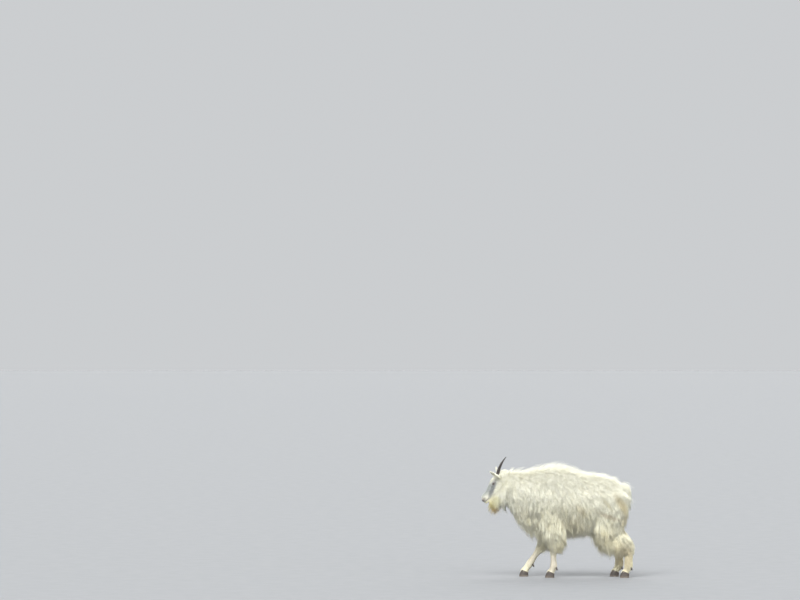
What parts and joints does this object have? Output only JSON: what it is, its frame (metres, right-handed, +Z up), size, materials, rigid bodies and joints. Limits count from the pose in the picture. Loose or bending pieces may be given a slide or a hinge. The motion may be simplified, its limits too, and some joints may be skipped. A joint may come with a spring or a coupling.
{
  "type": "mountain goat",
  "caption": "Life-size adult mountain goat in a long shaggy white winter coat, walking, with its head low, a beard, short black horns and cloven hooves; a still model.",
  "frame": {"origin": "on the floor under the middle of the model", "axes": "+Z up, the goat faces -X, its left side is -Y"},
  "size_m": [1.4132, 0.4836, 1.1022],
  "materials": {
    "coat": "long shaggy hair, cream white, stained tan on the lower flank and thigh",
    "shin_coat": "short close hair, beige",
    "nose": "moist fine-grained dark skin",
    "horn": "black horn, ringed near the base, smooth at the tip",
    "hoof": "near-black horn, worn and scuffed",
    "eye": "clear wet cornea over a dark amber iris with a level pupil"
  },
  "bodies": {
    "root": {"torso": "coat", "neck": "coat", "head": "coat", "tail": "coat", "ear_left": "coat", "ear_right": "coat", "leg_upper_fore_left": "coat", "leg_upper_fore_right": "coat", "leg_upper_hind_left": "coat", "leg_upper_hind_right": "coat", "leg_lower_fore_left": "shin_coat", "leg_lower_fore_right": "shin_coat", "leg_lower_hind_left": "shin_coat", "leg_lower_hind_right": "shin_coat", "hoof_fore_left": "hoof", "hoof_fore_right": "hoof", "hoof_hind_left": "hoof", "hoof_hind_right": "hoof", "horn_left": "horn", "horn_right": "horn", "eye_left": "eye", "eye_right": "eye"}
  },
  "joints": []
}
